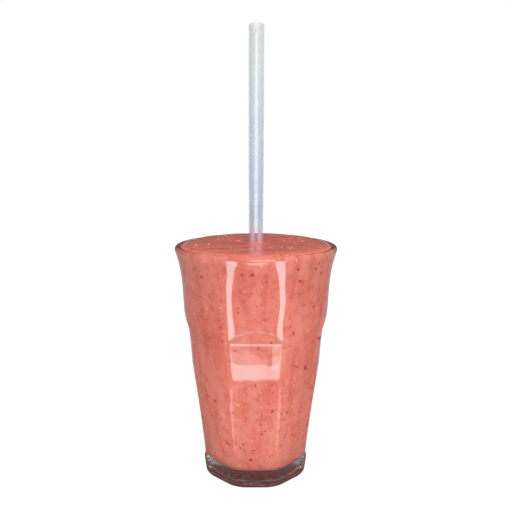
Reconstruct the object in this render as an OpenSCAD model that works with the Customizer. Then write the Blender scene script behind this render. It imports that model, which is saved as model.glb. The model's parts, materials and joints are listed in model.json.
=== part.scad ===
// Tall panelled tumbler, filled to the brim with a strawberry smoothie, with a clear straw in it.
// Origin: middle of the underside, on the axis. One panel faces -Y.

/* [Glass] */
// Diameter across the lip
lip_d = 88; // [66:0.5:110]
// Height to the top of the lip
glass_h = 127; // [104:0.5:160]
// Thickness of the lip, which is fully rounded
lip_t = 3.8; // [2.5:0.1:5]
// Number of panels round the glass
panels = 9; // [7:1:12]
// Diameter across the ridges at the foot
foot_d = 59.6; // [48:0.1:74]
// Radius of the edge round the foot
foot_edge = 0.9; // [0.3:0.1:1.4]
// Height of the round rim at the foot, over which the panels start
foot_rim = 2.3; // [2:0.1:4]
// How far the rim stands proud of the panels
rim_out = 0.7; // [0.4:0.1:1.3]
// Diameter across the ridges at the bend in the lower panels
bend_d = 74.3; // [60:0.1:90]
// Height of the bend in the lower panels
bend_h = 58; // [40:0.5:74]
// Diameter across the ridges at the ledge
ledge_d = 79; // [64:0.5:96]
// Height of the ledge between the lower and the upper panels
ledge_h = 83.5; // [66:0.5:102]
// Height of the sloping scoop above the ledge, in the middle of a panel
scoop_h = 6; // [3:0.5:10]
// Distance across the middles of the upper panels, just above the scoops
belly_d = 78.7; // [64:0.1:96]
// How far the soft ridges between the upper panels stand proud
ridge_out = 1; // [0.4:0.1:1.6]
// Width left round on each ridge of the lower panels
ridge_w = 1.4; // [0.8:0.1:3]
// Wall thickness in the middle of a lower panel
wall = 3; // [2:0.1:4.5]
// Thickness of the base under the edge of the cavity
base_t = 7; // [5:0.1:14]
// Rise of the cavity's floor towards the axis
floor_rise = 1.4; // [0:0.1:3]
// Radius of the cavity's bottom corner
floor_corner = 7.5; // [2:0.5:10]
// Width of the ring that the foot stands on
foot_ring = 8; // [4:0.5:12]
// Depth of the shallow hollow under the foot
foot_hollow = 1.2; // [0.4:0.1:2.5]

/* [Smoothie] */
// How far the smoothie heaps above the lip
heap_h = 1; // [0.4:0.1:2.5]
// Radius of the heaped edge, inside the lip
heap_edge = 2.1; // [1:0.1:4]

/* [Straw] */
// Outer diameter of the straw
straw_d = 8; // [5:0.1:12]
// Thickness of the straw's wall
straw_wall = 0.5; // [0.3:0.05:0.9]
// Length of the straw
straw_l = 231.5; // [180:0.5:300]
// Height of the straw's end above the cavity's floor
straw_lift = 0.6; // [0.4:0.1:3]

/* [Hidden] */
$fn = 96;

lip_r = lip_d / 2;
bead_r = lip_t / 2;
bead_x = lip_r - bead_r;
bead_z = glass_h - bead_r;

// Slopes of the outline, in radius for each mm of height
foot_slope = 0.085;
under_bend = 0.15;
over_bend = 0.06;
ledge_slope = 0.14;
belly_slope = 0.075;
lip_slope = 0.3;
lip_angle = atan(lip_slope);

// Where the upper outline runs into the rounded lip
join_x = bead_x + bead_r * cos(lip_angle);
join_z = bead_z - bead_r * sin(lip_angle);
scoop_z = ledge_h + scoop_h;

// Half of the angle that a lower panel spans, less the round strip on its ridge
panel_half = 180 / panels - asin(ridge_w / ledge_d);
panel_share = cos(panel_half);

// Part of the upper outline, from the scoop up, over which the panels run
panel_run = 0.93;
arc_steps = 8;
// Height over which the outline turns at the bend
bend_round = 2;
// Height over which the foot's rim steps out
rim_step = 0.5;
// How far the cutters reach past the glass
past = 4;

// Cubic from a to b over a height span, leaving a with slope ma and reaching b with slope mb
function cubic(a, ma, b, mb, span, t) =
    a * (2 * t ^ 3 - 3 * t ^ 2 + 1) + ma * span * (t ^ 3 - 2 * t ^ 2 + t)
    + b * (3 * t ^ 2 - 2 * t ^ 3) + mb * span * (t ^ 3 - t ^ 2);

// Radius of the ridges below the ledge
function low_ridge(z) = z < bend_h
    ? cubic(foot_d / 2, foot_slope, bend_d / 2, under_bend, bend_h, z / bend_h)
    : cubic(bend_d / 2, over_bend, ledge_d / 2, ledge_slope,
            ledge_h - bend_h, (z - bend_h) / (ledge_h - bend_h));

// Distance from the axis to the middle of a panel, below the ledge and above the scoop
function low_panel(z) = low_ridge(z) * panel_share;
function rise(z) = (z - scoop_z) / (join_z - scoop_z);
function high_panel(z) = cubic(belly_d / 2, belly_slope, join_x, lip_slope, join_z - scoop_z, rise(z));
function high_ridge(z) = high_panel(z) + ridge_out * (1 - rise(z) ^ 3);
function ridge_at(z) = z <= ledge_h ? low_ridge(z) : high_ridge(z);
function panel_at(z) = z <= ledge_h ? low_panel(z) : high_panel(z);

// Inside of the glass: it follows the lower panels, then opens evenly to the lip
inner_slope = ledge_slope * panel_share;
function inner(z) = z < ledge_h
    ? low_panel(z) - wall
    : cubic(low_panel(ledge_h) - wall, inner_slope, lip_r - lip_t, inner_slope,
            bead_z - ledge_h, (z - ledge_h) / (bead_z - ledge_h));

// Heights that share the span from a to b evenly, an arc, and a list read backwards
function spread(a, b, n) = [for (i = [0 : n]) a + (b - a) * i / n];
function arc(x, z, r, a, b, n) = [for (t = spread(a, b, n)) [x + r * cos(t), z + r * sin(t)]];
function backwards(list) = [for (i = [len(list) - 1 : -1 : 0]) list[i]];

// The panels are cut at other heights than the turned ridges, so that no two edges meet in one point
ridge_heights = concat(spread(foot_edge, ledge_h - 1, 9), spread(scoop_z + 1.5, join_z, 8));
panel_heights = concat(
    spread(foot_rim, bend_h, 5),
    spread(bend_h + bend_round, ledge_h, 2),
    spread(scoop_z, scoop_z + panel_run * (join_z - scoop_z), 8)
);

// Outline through a ridge, from the axis under the foot to the inner side of the lip
ridge_line = concat(
    [[0, 0]],
    arc(ridge_at(foot_edge) - foot_edge, foot_edge, foot_edge, -90, -15, 4),
    [for (z = ridge_heights) [ridge_at(z), z]],
    arc(bead_x, bead_z, bead_r, 0, 180, 2 * arc_steps)
);

// Outline through the middle of a panel, closed round the space outside the glass
cut_x = lip_r + past;
panel_line = concat(
    [[panel_at(foot_rim) + rim_out, -past]],
    [[panel_at(foot_rim) + rim_out, foot_rim - rim_step]],
    [for (z = panel_heights) [panel_at(z), z]],
    [[cut_x, glass_h], [cut_x, -past]]
);

// Outline of the cavity, from the axis on its floor to just under the lip
corner_z = base_t + floor_corner;
inner_heights = concat(
    spread(corner_z, bend_h, 6),
    spread(bend_h + bend_round, ledge_h, 3),
    spread(ledge_h + bend_round, bead_z, 6)
);
inner_line = concat(
    [[0, base_t + floor_rise]],
    [[straw_d, base_t + floor_rise]],
    arc(inner(corner_z) - floor_corner, corner_z, floor_corner, -90, -15, 4),
    [for (z = inner_heights) [inner(z), z]]
);

// The smoothie meets the lip at this angle round its section, then heaps over it
touch_angle = 130;
touch_x = bead_x + bead_r * cos(touch_angle);
heap_z = glass_h + heap_h;
smoothie_line = concat(
    inner_line,
    arc(bead_x, bead_z, bead_r, 180, touch_angle, 3),
    arc(touch_x - heap_edge, heap_z - heap_edge, heap_edge, 0, 90, arc_steps),
    [[0, heap_z]]
);

straw_bore = straw_d - 2 * straw_wall;
straw_foot = base_t + floor_rise + straw_lift;

// The space outside one panel, which faces +X
module panel_cut() {
    rotate([90, 0, 0])
        linear_extrude(height = lip_d, center = true)
            polygon(panel_line);
}

// The shallow hollow under the foot, inside the ring that it stands on
module under_hollow() {
    hollow_r = low_panel(0) - foot_ring;
    cylinder(h = 2 * foot_hollow, r1 = hollow_r + foot_hollow, r2 = hollow_r - foot_hollow, center = true);
}

// The straw's wall, from its lower end up to a height
module straw_tube(height) {
    translate([0, 0, straw_foot])
        difference() {
            cylinder(h = height, d = straw_d);
            translate([0, 0, -1]) cylinder(h = height + 2, d = straw_bore);
        }
}

module glass() {
    color("lightcyan", 0.4)
        difference() {
            rotate_extrude() polygon(concat(ridge_line, backwards(inner_line)));
            for (i = [0 : panels - 1])
                rotate([0, 0, i * 360 / panels - 90]) panel_cut();
            under_hollow();
        }
}

// Fills the cavity, round the straw and inside it
module smoothie() {
    color("lightcoral")
        difference() {
            rotate_extrude() polygon(smoothie_line);
            straw_tube(straw_l);
        }
}

module straw() {
    color("white", 0.6) straw_tube(straw_l);
}

glass();
smoothie();
straw();
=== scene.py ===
import json
import math
import random

import bpy
import numpy as np
from mathutils import Matrix, Vector, noise

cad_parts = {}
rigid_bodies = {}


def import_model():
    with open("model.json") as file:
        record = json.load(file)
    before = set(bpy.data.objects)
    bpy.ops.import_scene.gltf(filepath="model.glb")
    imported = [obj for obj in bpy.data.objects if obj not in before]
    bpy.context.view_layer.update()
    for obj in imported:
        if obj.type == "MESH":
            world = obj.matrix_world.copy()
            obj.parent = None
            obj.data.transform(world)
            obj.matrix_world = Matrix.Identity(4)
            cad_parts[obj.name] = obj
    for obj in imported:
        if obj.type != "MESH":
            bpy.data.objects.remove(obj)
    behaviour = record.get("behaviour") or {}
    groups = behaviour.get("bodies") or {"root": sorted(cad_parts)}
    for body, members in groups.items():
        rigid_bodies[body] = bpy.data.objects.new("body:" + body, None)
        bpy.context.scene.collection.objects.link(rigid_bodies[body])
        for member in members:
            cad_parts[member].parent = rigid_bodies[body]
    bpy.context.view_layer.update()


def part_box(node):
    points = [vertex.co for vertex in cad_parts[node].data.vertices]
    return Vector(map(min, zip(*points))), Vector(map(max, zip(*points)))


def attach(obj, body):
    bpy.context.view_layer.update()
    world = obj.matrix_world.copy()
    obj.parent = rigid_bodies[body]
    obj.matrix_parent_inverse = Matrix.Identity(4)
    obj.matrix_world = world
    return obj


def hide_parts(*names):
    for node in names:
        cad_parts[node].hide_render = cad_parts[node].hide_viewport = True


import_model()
for each in bpy.data.objects:
    each.select_set(False)

mm = 0.001
glassLow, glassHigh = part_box("glass")
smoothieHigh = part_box("smoothie")[1]
strawLow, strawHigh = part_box("straw")
lipRadius = (glassHigh.x - glassLow.x) / 2
black = (0, 0, 0)
white = (1, 1, 1)
print("frame loaded")

camera = {
    "distance": 290 * mm,
    "height": 169.4 * mm,
    "pitch": 9.6,  # degrees below level
    "roll": -0.15,  # degrees
    "lens": 37.74,
    "sensor": 36,
    "shift": 0.0001,
}


def addCamera():
    bpy.ops.object.camera_add(location=(0, -camera["distance"], camera["height"]))
    made = bpy.context.object
    made.name = "studioCamera"
    made.rotation_euler = Matrix.Rotation(math.radians(90 - camera["pitch"]), 4, "X").to_euler()
    made.rotation_euler.rotate_axis("Z", math.radians(-camera["roll"]))
    made.data.lens = camera["lens"]
    made.data.sensor_width = camera["sensor"]
    made.data.shift_x = camera["shift"]
    made.data.clip_start = 0.01
    bpy.context.scene.camera = made


studio = {
    # glow of the room that the glass mirrors, and over which part of each direction it changes
    "frontGlow": 0.75,
    "backGlow": 0.10,
    "frontToBack": (-0.7, 0.7),
    "leftGlow": 0.36,
    "rightGlow": 0.9,
    "sideRise": (0.35, 0.85),
    "sideLift": (0.02, 0.22),
    "zenithGlow": 0.8,
    "zenithRise": (0.4, 1.0),
    "floorSize": 6,
    "floorTone": 0.25,
    "floorMottle": 0.01,
    "floorGlow": 0.85,
    "floorMirrored": 0.46,  # how bright the floor looks in the glass
    "floorDrop": 0.4 * mm,
    "tints": {
        "warm": (1.0, 0.95, 0.90),
        "mild": (0.8, 0.95, 1.0),
        "pale": (0.6, 0.95, 1.0),
        "cool": (0.57, 0.98, 1.0),
    },
    # name: place, the point that it faces, width and height in metres, brightness, tint
    "lamps": {
        "keyLamp": ((0.14, -0.78, 0.30), (0, 0, 0.07), 0.46, 0.34, 8.3, "warm"),
        "leftCard": ((-0.099, -0.160, 0.033), (-0.013, -0.038, 0.09), 0.044, 0.066, 8.4, "pale"),
        "rightCard": ((0.099, -0.160, 0.033), (0.013, -0.038, 0.09), 0.044, 0.066, 8.4, "pale"),
        "frontCard": ((0.0, -0.1485, 0.001), (0, -0.1485, 0.3), 0.12, 0.011, 4.6, "cool"),
        "frontSoft": ((0.002, -0.1493, 0.0012), (0.002, -0.1493, 0.3), 0.10, 0.016, 2.0, "cool"),
        "sideCard": ((0.0165, -0.1585, 0.0014), (0.0165, -0.1585, 0.3), 0.008, 0.016, 4.0, "pale"),
        "leftStrip": ((-0.050, -0.080, 0.001), (-0.050, -0.080, 0.3), 0.05, 0.07, 2.2, "mild"),
        "rightStrip": ((0.050, -0.080, 0.001), (0.050, -0.080, 0.3), 0.05, 0.07, 2.2, "mild"),
    },
}


def addLamp(name, place, target, width, height, brightness, tint):
    bpy.ops.object.light_add(type="AREA", location=place)
    made = bpy.context.object
    made.name = name
    made.rotation_euler = (Vector(target) - Vector(place)).to_track_quat("-Z", "Y").to_euler()
    made.data.shape = "RECTANGLE"
    made.data.size = width
    made.data.size_y = height
    made.data.energy = brightness * math.pi * width * height
    made.data.color = studio["tints"][tint]


class Signal:
    # one output socket, with arithmetic that adds Math nodes
    def __init__(self, look, socket):
        self.look = look
        self.socket = socket

    def math(self, operation, first, second):
        return self.look.add("ShaderNodeMath", {"operation": operation}, {0: first, 1: second})

    def __add__(self, other):
        return self.math("ADD", self, other)

    __radd__ = __add__

    def __sub__(self, other):
        return self.math("SUBTRACT", self, other)

    def __rsub__(self, other):
        return self.math("SUBTRACT", other, self)

    def __mul__(self, other):
        return self.math("MULTIPLY", self, other)

    __rmul__ = __mul__


class Look:
    # the nodes of one material, or of the world
    def __init__(self, owner):
        self.owner = owner
        owner.use_nodes = True
        self.tree = owner.node_tree
        self.tree.nodes.clear()

    def add(self, kind, settings=None, inputs=None, output=0):
        node = self.tree.nodes.new(kind)
        for key, value in (settings or {}).items():
            setattr(node, key, value)
        for key, value in (inputs or {}).items():
            if isinstance(value, Signal):
                self.tree.links.new(value.socket, node.inputs[key])
            else:
                node.inputs[key].default_value = value
        return Signal(self, node.outputs[output]) if node.outputs else node

    def place(self):
        return self.add("ShaderNodeTexCoord", output="Object")

    def height(self):
        return self.add("ShaderNodeSeparateXYZ", {}, {0: self.place()}, output=2)

    def noise(self, scale, detail=2.0, roughness=0.5, place=None):
        return self.add("ShaderNodeTexNoise", {}, {
            "Vector": place or self.place(),
            "Scale": scale,
            "Detail": detail,
            "Roughness": roughness,
        })

    def span(self, value, low, high, start, end):
        # eases from low to high while the value goes from start to end
        return self.add("ShaderNodeMapRange", {"interpolation_type": "SMOOTHSTEP"}, {
            "Value": value,
            "From Min": start,
            "From Max": end,
            "To Min": low,
            "To Max": high,
        })

    def blend(self, factor, first, second):
        return self.add("ShaderNodeMix", {"data_type": "RGBA"}, {
            0: factor,
            6: first if isinstance(first, Signal) else (*first, 1),
            7: second if isinstance(second, Signal) else (*second, 1),
        }, output=2)

    def bump(self, height, distance, strength):
        return self.add("ShaderNodeBump", {}, {
            "Height": height,
            "Distance": distance,
            "Strength": strength,
        })

    def principled(self, **sockets):
        inputs = {key.replace("_", " "): value for key, value in sockets.items()}
        shader = self.add("ShaderNodeBsdfPrincipled", {}, inputs)
        self.add("ShaderNodeOutputMaterial", {}, {"Surface": shader})
        return self.owner


def addWorld():
    # white where it is seen plainly, and a soft glow that fades to the back where it lights the glass
    world = bpy.data.worlds.new("studioWorld")
    bpy.context.scene.world = world
    look = Look(world)
    seen = look.add("ShaderNodeLightPath", output="Is Camera Ray")
    way = look.add("ShaderNodeTexCoord", output="Generated")
    aside, depth, height = [
        look.add("ShaderNodeSeparateXYZ", {}, {0: way}, output=i) for i in range(3)
    ]
    near, far = studio["sideRise"]
    right = look.span(aside, 0, studio["rightGlow"], near, far)
    left = look.span(aside, 0, studio["leftGlow"], -near, -far)
    glow = look.span(depth, studio["frontGlow"], studio["backGlow"], *studio["frontToBack"])
    glow = glow + (right + left) * look.span(height, 0, 1, *studio["sideLift"])
    glow = glow + look.span(height, 0, studio["zenithGlow"], *studio["zenithRise"])
    level = seen + (1 - seen) * glow
    background = look.add("ShaderNodeBackground", {}, {"Color": look.blend(level, black, white)})
    look.add("ShaderNodeOutputWorld", {}, {"Surface": background})


def addFloor():
    # seen plainly it is white, and in the glass it is a grey table
    bpy.ops.mesh.primitive_plane_add(size=studio["floorSize"], location=(0, 0, -studio["floorDrop"]))
    floor = bpy.context.object
    floor.name = "floor"
    look = Look(bpy.data.materials.new("paleFloor"))
    seen = look.add("ShaderNodeLightPath", output="Is Camera Ray")
    tone, mottle = studio["floorTone"], studio["floorMottle"]
    plain = look.span(look.noise(3.0), tone - mottle, tone + mottle, 0, 1)
    level = seen * plain + (1 - seen) * studio["floorMirrored"]
    floor.data.materials.append(look.principled(
        Base_Color=look.blend(level, black, white),
        Roughness=0.9,
        Specular_IOR_Level=0.1,
        Emission_Color=look.blend(seen * studio["floorGlow"], black, white),
        Emission_Strength=1.0,
    ))


addCamera()
addWorld()
addFloor()
for lampName, settings in studio["lamps"].items():
    addLamp(lampName, *settings)
bpy.context.scene.view_settings.view_transform = "Standard"
print("camera, lamps and floor made")

tumbler = {
    "panels": 9,
    "lipThickness": 3.8 * mm,
    "footDiameter": 59.6 * mm,  # across the ridges, as the next two are
    "bendDiameter": 74.3 * mm,
    "ledgeDiameter": 79 * mm,
    "footEdge": 0.9 * mm,
    "bendHeight": 58 * mm,
    "ledgeHeight": 83.5 * mm,
    "scoopHeight": 6 * mm,
    "bellyDiameter": 78.7 * mm,
    "ridgeOut": 1 * mm,
    "lowCrown": 0.55,  # how much of the upper ridges is left at their lower ends
    "crownRun": (-0.02, 0.3),  # part of the upper wall over which they grow to the full
    "panelShare": 0.9456,  # a lower panel's distance from the axis, as a share of its ridges'
    "wall": 3 * mm,
    "base": 7 * mm,
    "floorRise": 1.4 * mm,
    "floorFlat": 8 * mm,  # radius of the level middle of the cavity's floor
    "floorBend": (18 * mm, 0.6 * mm),  # radius, and height over the base, where its slope eases
    "floorCorner": 7.5 * mm,
    "cornerStart": -84,  # degrees round the corner's section
    "footRing": 8 * mm,
    "footHollow": 2.2 * mm,
    "hollowRim": 0.35,  # depth of the hollow all round, as a share of its depth in the middle
    "domeTurn": 1.4,  # radians that the hollow's domed section spans
    "hollowLip": (0.6 * mm, 0.2 * mm),  # width and height of the step from the ring into it
    "ringEdge": 3 * mm,  # how far inside the ridges the ring's flat part ends
    "footRim": 2.3 * mm,  # height of the round rim under the panels
    "rimOut": 0.7 * mm,  # how far the rim stands proud of the panels
    "rimRound": 0.3 * mm,
    "rimFall": 8,  # how steeply the rim's top runs in, in radius for each mm of height
    "footSlope": 0.085,
    "underBend": 0.15,
    "overBend": 0.06,
    "ledgeSlope": 0.14,
    "bellySlope": 0.075,
    "lipSlope": 0.36,
    "creaseRound": 0.28 * mm,
    "ledgeRound": 0.9 * mm,
    "waviness": 0.012 * mm,
    "waveLength": 13 * mm,
    "waveStart": (3, 1, 7),
    # sideways bumps of the two front ridges above the ledge: height, shift, spread
    "frontSways": {
        4: ((118 * mm, 1.5 * mm, 2.6 * mm), (110 * mm, -0.7 * mm, 4 * mm)),
        5: ((105 * mm, 0.8 * mm, 3.5 * mm), (92 * mm, -0.8 * mm, 5 * mm)),
    },
    "otherSways": ((92 * mm, 120 * mm), (-0.9 * mm, 0.9 * mm), (3 * mm, 6 * mm)),
    "steps": 360,
    # rings of the wall: from, to, steps
    "rings": (
        (1.3 * mm, 3.1 * mm, 12),
        (6 * mm, 56 * mm, 15),
        (57 * mm, 60 * mm, 6),
        (62 * mm, 80 * mm, 9),
        (81 * mm, 92 * mm, 32),
        (94 * mm, 122 * mm, 14),
    ),
    "topRing": 122.5 * mm,
    "tints": ((0.90, 0.965, 0.955), (0.94, 0.975, 0.97)),
    "clearRoughness": (0.0, 0.03),
    "stippledRoughness": (0.25, 0.45),
    "bump": (0.05 * mm, 0.4),
}

beadRadius = tumbler["lipThickness"] / 2
beadX = lipRadius - beadRadius
beadZ = glassHigh.z - beadRadius
lipAngle = math.atan(tumbler["lipSlope"])
joinX = beadX + beadRadius * math.cos(lipAngle)
joinZ = beadZ - beadRadius * math.sin(lipAngle)
scoopZ = tumbler["ledgeHeight"] + tumbler["scoopHeight"]
panelTurn = 2 * math.pi / tumbler["panels"]
midRadius = 40 * mm  # the wall's rings are drawn here, then moved to their own radius
hair = 0.01 * mm  # closer than this counts as touching


def cubic(a, slopeA, b, slopeB, span, t):
    return (a * (2 * t**3 - 3 * t**2 + 1) + slopeA * span * (t**3 - 2 * t**2 + t)
            + b * (3 * t**2 - 2 * t**3) + slopeB * span * (t**3 - t**2))


def lowRidge(z):
    # radius of the ridges below the ledge
    g = tumbler
    under = cubic(g["footDiameter"] / 2, g["footSlope"], g["bendDiameter"] / 2, g["underBend"],
                  g["bendHeight"], z / g["bendHeight"])
    above = g["ledgeHeight"] - g["bendHeight"]
    over = cubic(g["bendDiameter"] / 2, g["overBend"], g["ledgeDiameter"] / 2, g["ledgeSlope"],
                 above, (z - g["bendHeight"]) / above)
    return np.where(z < g["bendHeight"], under, over)


def highPanel(z):
    # distance of the upper panels from the axis
    g = tumbler
    above = joinZ - scoopZ
    rise = np.clip((z - scoopZ) / above, 0, 1)
    curved = cubic(g["bellyDiameter"] / 2, g["bellySlope"], joinX, g["lipSlope"], above, rise)
    return curved + g["bellySlope"] * np.minimum(z - scoopZ, 0)


def innerRadius(z):
    # the cavity follows the lower panels, then opens evenly to the lip
    g = tumbler
    slope = g["ledgeSlope"] * g["panelShare"]
    ledge = lowRidge(np.float64(g["ledgeHeight"])) * g["panelShare"] - g["wall"]
    above = beadZ - g["ledgeHeight"]
    rise = (z - g["ledgeHeight"]) / above
    opened = cubic(ledge, slope, lipRadius - g["lipThickness"], slope, above, rise)
    return np.where(z < g["ledgeHeight"], lowRidge(z) * g["panelShare"] - g["wall"], opened)


def polygonShare(angle, sharpness):
    # radius of a soft polygon with one side facing -Y, against its sides' distance from the axis
    total = 0
    for i in range(tumbler["panels"]):
        facing = np.maximum(np.cos(angle + math.pi / 2 - i * panelTurn), 0)
        total = total + facing**sharpness
    return total ** (-1 / sharpness)


def sharpnessFor(share):
    # sharpness at which the polygon's corners stand at this share of its sides' distance
    return math.log(2) / math.log(1 / math.cos(panelTurn / 2) / share)


def softLeast(a, b, soft):
    gap = np.clip(0.5 + 0.5 * (b - a) / soft, 0, 1)
    return b * (1 - gap) + a * gap - soft * gap * (1 - gap)


def smooth(value, start, end):
    t = np.clip((value - start) / (end - start), 0, 1)
    return t * t * (3 - 2 * t)


def ridgeSway(angle, z):
    # pressed glass is never quite true: its upper ridges wander a little to each side
    draw = random.Random("ridges")
    total = 0
    for i in range(tumbler["panels"]):
        bumps = tumbler["frontSways"].get(i)
        if bumps is None:
            bumps = [[draw.uniform(*limits) for limits in tumbler["otherSways"]] for k in range(2)]
        aside = angle + math.pi / 2 - (i - tumbler["panels"] / 2) * panelTurn
        aside = (aside + math.pi) % (2 * math.pi) - math.pi
        near = smooth(np.abs(aside), panelTurn / 2, 0)
        for height, shift, width in bumps:
            total = total + near * shift / midRadius * np.exp(-((z - height) / width) ** 2)
    return total


def outerRadius(angle, z):
    g = tumbler
    lowShare = polygonShare(angle, sharpnessFor(1 / g["panelShare"]))
    ledge, share = g["ledgeHeight"], g["panelShare"]
    past = z - ledge
    scoopOut = g["bellyDiameter"] / 2 - g["ledgeDiameter"] / 2 * share
    extraSlope = scoopOut / g["scoopHeight"] - g["ledgeSlope"] * share
    low = (lowRidge(np.minimum(z, ledge)) + g["ledgeSlope"] * np.maximum(past, 0)) * share
    low = low + extraSlope * 0.5 * (past + np.hypot(past, g["ledgeRound"]))
    rise = np.clip((z - scoopZ) / (joinZ - scoopZ), 0, 1)
    swayed = angle - ridgeSway(angle, z)
    highShare = polygonShare(swayed, sharpnessFor(1 + g["ridgeOut"] / (g["bellyDiameter"] / 2)))
    crown = (1 - rise**3) * (g["lowCrown"] + (1 - g["lowCrown"]) * smooth(rise, *g["crownRun"]))
    high = highPanel(z) * (1 + (highShare / highShare.min() - 1) * crown)
    wall = softLeast(low * lowShare, high, g["creaseRound"])
    # the foot's round rim stands proud of the panels
    rimPanel = lowRidge(np.float64(g["footRim"])) * share + g["rimOut"]
    rim = softLeast(lowRidge(np.minimum(z, ledge)), rimPanel * lowShare, g["rimRound"])
    rim = rim - g["rimFall"] * np.maximum(z - g["footRim"] + g["rimRound"], 0)
    return -softLeast(-wall, -rim, g["rimRound"])


def spread(a, b, count):
    return [a + (b - a) * i / count for i in range(count + 1)]


def arc(x, z, radius, start, end, count):
    turn = [math.radians(t) for t in spread(start, end, count)]
    return [(x + radius * math.cos(t), z + radius * math.sin(t)) for t in turn]


def turned(name, outline, steps, closed=False):
    # draws an outline in the XZ plane point by point and spins it round the axis
    bpy.ops.object.select_all(action="DESELECT")
    bpy.ops.mesh.primitive_plane_add(size=1 * mm)
    piece = bpy.context.object
    piece.name = piece.data.name = name
    bpy.ops.object.mode_set(mode="EDIT")
    bpy.ops.mesh.select_all(action="SELECT")
    bpy.ops.mesh.merge(type="CENTER")
    bpy.ops.transform.translate(value=(outline[0][0], 0, outline[0][1]))
    for (x, z), (nextX, nextZ) in zip(outline, outline[1:]):
        bpy.ops.mesh.extrude_region_move(TRANSFORM_OT_translate={"value": (nextX - x, 0, nextZ - z)})
    bpy.ops.mesh.select_all(action="SELECT")
    if closed:
        bpy.ops.mesh.edge_face_add()
        bpy.ops.mesh.delete(type="ONLY_FACE")
        bpy.ops.mesh.select_all(action="SELECT")
    bpy.ops.mesh.spin(steps=steps, angle=2 * math.pi, center=(0, 0, 0), axis=(0, 0, 1))
    bpy.ops.mesh.select_all(action="SELECT")
    bpy.ops.mesh.remove_doubles(threshold=0.004 * mm)
    bpy.ops.mesh.normals_make_consistent(inside=False)
    bpy.ops.object.mode_set(mode="OBJECT")
    return piece


def finishPiece(piece, look, node):
    piece.data.materials.clear()
    piece.data.materials.append(look)
    for face in piece.data.polygons:
        face.use_smooth = True
    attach(piece, "root")
    if node:
        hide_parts(node)


def points(piece):
    flat = np.empty(len(piece.data.vertices) * 3)
    piece.data.vertices.foreach_get("co", flat)
    return flat.reshape(-1, 3)


def setPoints(piece, where):
    piece.data.vertices.foreach_set("co", where.ravel())
    piece.data.update()


def cavityOutline(reach):
    # from the axis on the floor to the lip's inner side, grown by reach
    g = tumbler
    cornerZ = g["base"] + g["floorCorner"]
    cornerX = float(innerRadius(np.float64(cornerZ))) - g["floorCorner"]
    floorZ = g["base"] + g["floorRise"]
    bendX, bendRise = g["floorBend"]
    heights = spread(cornerZ, g["bendHeight"], 12)[1:]
    heights += spread(g["bendHeight"] + 2 * mm, beadZ, 24)
    line = [(0, floorZ - reach), (g["floorFlat"], floorZ - reach), (bendX, g["base"] + bendRise - reach)]
    line += arc(cornerX, cornerZ, g["floorCorner"] + reach, g["cornerStart"], 0, 8)
    line += [(float(innerRadius(np.float64(z))) + reach, z) for z in heights]
    return line


def pressedWaves(where):
    # the gentle waves of pressed glass, as a share of the radius
    start = Vector(tumbler["waveStart"])
    heights = [noise.fractal(Vector(p) / tumbler["waveLength"] + start, 1.0, 2.0, 2) for p in where]
    return np.array(heights) * tumbler["waviness"] / midRadius


def glassOutline(ridge, hollow):
    # from the axis under the foot, up the outside and over the lip, then down the cavity
    g = tumbler
    rim, (lipWidth, lipHeight) = g["hollowRim"], g["hollowLip"]
    line = [(hollow * math.sin(t), g["footHollow"] * (rim + (1 - rim) * math.cos(t)))
            for t in spread(0, g["domeTurn"], 12)]
    line += [(hollow, lipHeight), (hollow + lipWidth, 0), (ridge - g["ringEdge"], 0)]
    line += arc(ridge - g["footEdge"], g["footEdge"], g["footEdge"], -90, 0, 6)
    for start, end, steps in g["rings"]:
        line += [(midRadius, z) for z in spread(start, end, steps)]
    line += [(midRadius, z) for z in spread(g["topRing"], joinZ, 14)[:-1]]
    line += arc(beadX, beadZ, beadRadius, -math.degrees(lipAngle), 180, 18)
    return line + cavityOutline(0)[::-1][1:]


def addGlass():
    g = tumbler
    ridge = float(lowRidge(np.float64(g["footEdge"])))
    hollow = float(lowRidge(np.float64(0))) * g["panelShare"] - g["footRing"]
    piece = turned("glassWall", glassOutline(ridge, hollow), g["steps"])
    where = points(piece)
    radius = np.hypot(where[:, 0], where[:, 1])
    angle = np.arctan2(where[:, 1], where[:, 0])
    z = where[:, 2]
    wall = (np.abs(radius - midRadius) < 0.1 * hair) & (z < joinZ) & (z > g["footEdge"])
    foot = (radius > ridge - 2 * mm) & (z <= g["footEdge"] + 0.1 * hair)
    target = outerRadius(angle, np.maximum(z, g["footEdge"]))
    target = target * (1 + pressedWaves(where) * wall)
    share = np.where(wall, target / midRadius, np.where(foot, target / ridge, 1))
    where[:, 0] *= share
    where[:, 1] *= share
    setPoints(piece, where)
    finishPiece(piece, glassLook("clearGlass", g["clearRoughness"]), "glass")
    piece.data.materials.append(glassLook("stippledGlass", g["stippledRoughness"]))
    for face in piece.data.polygons:
        x, y, z = face.center
        inHollow = math.hypot(x, y) < hollow and z < g["footHollow"] + 0.1 * mm
        face.material_index = 1 if inHollow else 0


def glassLook(name, roughness):
    look = Look(bpy.data.materials.new(name))
    smear = look.noise(60.0, detail=3.0)
    wave = look.noise(110.0, detail=1.0)
    return look.principled(
        Base_Color=look.blend(look.span(smear, 0, 1, 0.35, 0.65), *tumbler["tints"]),
        Roughness=look.span(smear, *roughness, 0.45, 0.75),
        IOR=1.5,
        Transmission_Weight=1.0,
        Normal=look.bump(wave, *tumbler["bump"]),
    )


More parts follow.
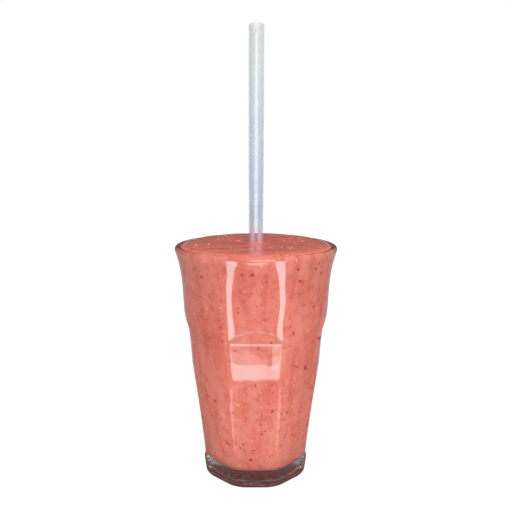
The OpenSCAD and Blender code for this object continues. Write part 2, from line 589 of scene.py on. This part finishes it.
smoothie = {
    "reach": 0.15 * mm,  # into the glass, so that no air gap shows
    # degrees round the lip's section: where the side ends, and where the top meets the lip in
    # front and at the back
    "sideEnd": 176,
    "frontTouch": 174,
    "backTouch": 116,
    "touchRun": (-0.2, 0.75),  # part of the way to the back over which the touch changes
    "heapSteepness": 14,
    "heapTilt": 0.9 * mm,  # up to the back
    "swirlHeight": 0.3 * mm,
    "swirlLength": 13 * mm,
    "swirlTwist": 24 * mm,  # way out from the axis for each radian of twist
    "calmEdge": (3 * mm, 6 * mm),  # width of the still edge, and of the run-in to it
    "collar": (0.7 * mm, 1.1 * mm),  # height and width of the rise at the straw
    # place and height of the small peaks that the blender left, in mm
    "peaks": (
        (-9.6, 4.6, 0.8),
        (19.1, 12.8, 0.9),
        (18.2, -17.6, 0.8),
        (-24.9, -3.1, 0.45),
        (6, 22, 0.5),
        (-14, 24, 0.6),
        (-27, -15, 0.4),
        (29, -3, 0.4),
        (4, -27, 0.35),
    ),
    "peakWidth": 1.1,
    "peakSquash": 1.3,
    "edgeStep": 0.15 * mm,  # between the two outermost rings of the top
    "steps": 288,
    "tints": ((0.90, 0.212, 0.148), (0.96, 0.258, 0.20)),
    # laid over one another: pattern, share at its start and end, start, end, colour
    "layers": (
        ("mottle", 0, 0.7, 0.52, 0.70, (0.72, 0.125, 0.09)),
        ("mottle", 0.6, 0, 0.30, 0.48, (0.90, 0.35, 0.28)),
        ("streak", 0, 0.5, 0.50, 0.68, (0.80, 0.135, 0.085)),
        ("streak", 0.4, 0, 0.32, 0.5, (0.96, 0.33, 0.28)),
        ("grit", 0, 0.5, 0.58, 0.74, (0.66, 0.06, 0.06)),
        ("fleck", 0, 0.7, 0.65, 0.76, (0.90, 0.40, 0.14)),
    ),
    # painted shade: the top is painted darker and redder, as less light falls on it from above
    "topShadeTint": (0.74, 0.14, 0.09),
    "topShadeShare": 0.6,
    "topCoat": 0.8,
    # on the floor of the glass it is painted darker: painted shade where little light reaches the drink's
    # underside
    "bottomShadeTint": (0.30, 0.09, 0.10),
    "bottomShadeShare": 0.5,
    "bottomShadeRun": (0.4 * mm, 3 * mm),
    "bump": (0.25 * mm, 0.6),
}


def touchPoint(x, y):
    # radius and height at which the top meets the lip on this side of the glass
    s = smoothie
    back = float(smooth(y / max(math.hypot(x, y), 1e-9), *s["touchRun"]))
    turn = math.radians(s["frontTouch"] + (s["backTouch"] - s["frontTouch"]) * back)
    reach = beadRadius - s["reach"]
    return beadX + reach * math.cos(turn), beadZ + reach * math.sin(turn)


def topHeight(x, y):
    # how far the top stands over or under its plain level
    s = smoothie
    radius = math.hypot(x, y)
    turn = math.atan2(y, x) + radius / s["swirlTwist"]
    swirled = Vector((radius * math.cos(turn), radius * math.sin(turn), 0)) / s["swirlLength"]
    wave = noise.fractal(swirled, 1.0, 2.0, 2)
    collarHeight, collarWidth = s["collar"]
    collar = collarHeight * math.exp(-max(radius - strawHigh.x, 0) / collarWidth)
    still, runIn = s["calmEdge"]
    calm = min(1, max(0, (lipRadius - radius - still) / runIn))
    peaks = 0
    for peakX, peakY, tall in s["peaks"]:
        away = math.hypot(x / mm - peakX, (y / mm - peakY) * s["peakSquash"])
        peaks += tall * mm * math.exp(-away / s["peakWidth"])
    touchRadius, touchZ = touchPoint(x, y)
    out = min(1, radius / touchRadius) ** s["heapSteepness"]
    level = s["heapTilt"] * y / touchRadius * (1 - out) - (smoothieHigh.z - touchZ) * out
    return level + calm * (s["swirlHeight"] * wave + peaks) + collar


def addSmoothie():
    s = smoothie
    heapZ = smoothieHigh.z
    reach = beadRadius - s["reach"]
    line = cavityOutline(s["reach"])
    line += arc(beadX, beadZ, reach, s["sideEnd"], s["backTouch"], 8)
    fullRadius = line[-1][0]
    line += [(r, heapZ) for r in spread(fullRadius - s["edgeStep"], 0, 64)]
    piece = turned("smoothieBody", line, s["steps"])
    where = points(piece)
    for i in np.nonzero(where[:, 2] > beadZ + hair)[0]:
        x, y, z = where[i]
        radius = max(math.hypot(x, y), 1e-9)
        touchRadius, touchZ = touchPoint(x, y)
        if z < heapZ - hair:
            # slides along the lip's section
            turn = math.degrees(math.atan2(z - beadZ, radius - beadX))
            part = (s["sideEnd"] - turn) / (s["sideEnd"] - s["backTouch"])
            lowest = math.degrees(math.atan2(touchZ - beadZ, touchRadius - beadX))
            turn = math.radians(s["sideEnd"] - part * (s["sideEnd"] - lowest))
            target = beadX + reach * math.cos(turn)
            where[i, 2] = beadZ + reach * math.sin(turn)
        else:
            target = radius * touchRadius / fullRadius
            where[i, 2] += topHeight(x * target / radius, y * target / radius)
        where[i, :2] *= target / radius
    setPoints(piece, where)
    finishPiece(piece, smoothieLook(), "smoothie")


def smoothieLook():
    s = smoothie
    look = Look(bpy.data.materials.new("strawberrySmoothie"))
    drawnOut = look.add("ShaderNodeMapping", {}, {"Vector": look.place(), "Scale": (1, 1, 0.18)})
    cloud = look.noise(55.0, detail=3.0)
    patterns = {
        "mottle": look.noise(260.0, detail=4.0, roughness=0.6),
        "streak": look.noise(170.0, detail=2.0, place=drawnOut),
        "grit": look.noise(900.0, detail=2.0),
        "fleck": look.noise(620.0, detail=1.0),
    }
    base = look.blend(look.span(cloud, 0, 1, 0.3, 0.7), *s["tints"])
    for name, low, high, start, end, tint in s["layers"]:
        base = look.blend(look.span(patterns[name], low, high, start, end), base, tint)
    height = look.height()
    top = look.span(height, 0, 1, glassHigh.z - 1.2 * mm, glassHigh.z)
    # painted shade: the top is painted darker where less light falls on it from above
    base = look.blend(s["topShadeShare"] * top, base, s["topShadeTint"])
    start, end = s["bottomShadeRun"]
    # painted shade: the drink is painted darker towards the floor of the glass
    bottomShade = look.span(height, 1, 0, tumbler["base"] + start, tumbler["base"] + end)
    base = look.blend(s["bottomShadeShare"] * bottomShade, base, s["bottomShadeTint"])
    return look.principled(
        Base_Color=base,
        Roughness=look.span(patterns["mottle"], 0.30, 0.48, 0.3, 0.7),
        Specular_IOR_Level=0.15,
        Coat_Weight=s["topCoat"] * top,
        Coat_Roughness=0.07,
        Normal=look.bump(patterns["mottle"], *s["bump"]),
    )


straw = {
    "wall": 0.5 * mm,
    "endRound": 0.12 * mm,
    "steps": 96,
    # how dense the plastic looks: down the middle, beside it, and less than that at the edge
    "middle": 0.12,
    "flank": 0.57,
    "thinner": 0.26,
    # heights over which its tint changes: just above the drink, and further up
    "drinkRun": (127 * mm, 143 * mm),
    "upperRun": (160 * mm, 230 * mm),
    "drinkTint": (0.72, 0.36, 0.36),
    "lowTint": (0.40, 0.49, 0.67),
    "highTint": (0.60, 0.62, 0.62),
    "hazeTint": (0.66, 0.73, 0.86),
    "roughness": (0.12, 0.22),
}


def addStraw():
    outer = strawHigh.x
    inner = outer - straw["wall"]
    low, high, edge = strawLow.z, strawHigh.z, straw["endRound"]
    heights = spread(low + 5 * mm, high - 5 * mm, 24)
    line = [(inner, low + edge), (inner + edge, low), (outer - edge, low), (outer, low + edge)]
    line += [(outer, z) for z in heights]
    line += [(outer, high - edge), (outer - edge, high), (inner + edge, high), (inner, high - edge)]
    line += [(inner, z) for z in heights[::-1]]
    piece = turned("strawTube", line, straw["steps"], closed=True)
    finishPiece(piece, strawLook(), "straw")


def strawLook():
    s = straw
    look = Look(bpy.data.materials.new("clearPlastic"))
    haze = look.noise(90.0, detail=2.0)
    height = look.height()
    facing = look.add("ShaderNodeLayerWeight", {}, {"Blend": 0.5}, output="Facing")
    # a tube is clearest down its middle and at its very edge
    dense = look.span(facing, s["middle"], s["flank"], 0, 0.11)
    dense = dense - look.span(facing, 0, s["thinner"], 0.13, 0.4)
    tint = look.blend(look.span(height, 0, 1, *s["upperRun"]), s["lowTint"], s["highTint"])
    tint = look.blend(look.span(height, 0.6, 0, *s["drinkRun"]), tint, s["drinkTint"])
    return look.principled(
        Base_Color=look.blend(look.span(haze, 0, 0.25, 0.3, 0.7), tint, s["hazeTint"]),
        Roughness=look.span(haze, *s["roughness"], 0.3, 0.7),
        IOR=1.45,
        Alpha=dense,
    )


bits = {
    "thickness": 0.24 * mm,
    "smallBias": 2.2,  # the higher, the more of them are small
    "lumpiness": 0.45,
    "sideSlope": 0.1,  # how far the drink's side leans out
    "sideEnds": (3 * mm, 2.5 * mm),  # left bare over the base and under the lip
    "topEdge": 6 * mm,
    # name: count on the side, count on top, length range, width share, colours
    "kinds": {
        "redPulp": (460, 60, (0.5 * mm, 2.3 * mm), (0.45, 0.95), (0.60, 0.022, 0.045), (0.78, 0.12, 0.10)),
        "orangePulp": (300, 40, (0.6 * mm, 2.6 * mm), (0.4, 0.9), (0.95, 0.40, 0.10), (0.92, 0.33, 0.17)),
        "paleSeeds": (150, 30, (0.6 * mm, 1.3 * mm), (0.4, 0.6), (0.90, 0.62, 0.35), (0.90, 0.44, 0.30)),
        "darkPips": (36, 8, (0.5 * mm, 0.9 * mm), (0.5, 0.8), (0.20, 0.05, 0.06), (0.45, 0.10, 0.09)),
    },
}


def sidePlace(angle, z):
    # a point on the drink's side, with the way out of it
    radius = float(innerRadius(np.float64(z))) + smoothie["reach"]
    slope = math.atan(bits["sideSlope"])
    place = Vector((radius * math.cos(angle), radius * math.sin(angle), z))
    level = math.cos(slope)
    return place, Vector((math.cos(angle) * level, math.sin(angle) * level, -math.sin(slope)))


def topPlace(angle, radius):
    # a point on top of the drink, with the way up
    x, y = radius * math.cos(angle), radius * math.sin(angle)
    return Vector((x, y, smoothieHigh.z + topHeight(x, y))), Vector((0, 0, 1))


def addBits(name, sideCount, topCount, lengths, shares, strong, faint):
    draw = random.Random(name)
    bpy.ops.object.select_all(action="DESELECT")
    bpy.ops.mesh.primitive_ico_sphere_add(subdivisions=2, radius=0.5)
    piece = bpy.context.object
    shape = [v.co.copy() for v in piece.data.vertices]
    faces = [tuple(f.vertices) for f in piece.data.polygons]
    vertices, polygons = [], []
    low, high = bits["sideEnds"]
    for i in range(sideCount + topCount):
        angle = draw.uniform(0, 2 * math.pi)
        if i < sideCount:
            centre, out = sidePlace(angle, draw.uniform(tumbler["base"] + low, glassHigh.z - high))
        else:
            widest = lipRadius - bits["topEdge"]
            centre, out = topPlace(angle, widest * math.sqrt(draw.uniform(0.03, 1)))
        length = lengths[0] + (lengths[1] - lengths[0]) * draw.random() ** bits["smallBias"]
        size = Vector((length, length * draw.uniform(*shares), bits["thickness"]))
        turn = out.to_track_quat("Z", "Y").to_matrix() @ Matrix.Rotation(draw.uniform(0, math.pi), 3, "Z")
        seed = Vector([draw.uniform(0, 50) for k in range(3)])
        first = len(vertices)
        for corner in shape:
            lump = 1 + bits["lumpiness"] * noise.noise(corner * 3 + seed)
            vertices.append(centre + turn @ Vector(a * b for a, b in zip(corner * lump, size)))
        polygons += [tuple(first + k for k in f) for f in faces]
    piece.data.clear_geometry()
    piece.data.from_pydata(vertices, [], polygons)
    piece.name = piece.data.name = name
    finishPiece(piece, bitLook(name, strong, faint), None)


def bitLook(name, strong, faint):
    look = Look(bpy.data.materials.new(name + "Look"))
    pick = look.noise(160.0, detail=1.0)
    return look.principled(
        Base_Color=look.blend(look.span(pick, 0, 1, 0.35, 0.65), strong, faint),
        Roughness=look.span(look.noise(900.0), 0.3, 0.5, 0, 1),
        Specular_IOR_Level=0.2,
    )


addGlass()
print("glass made")
addSmoothie()
print("smoothie made")
addStraw()
print("straw made")
for bitName, settings in bits["kinds"].items():
    addBits(bitName, *settings)
print("fruit bits made")
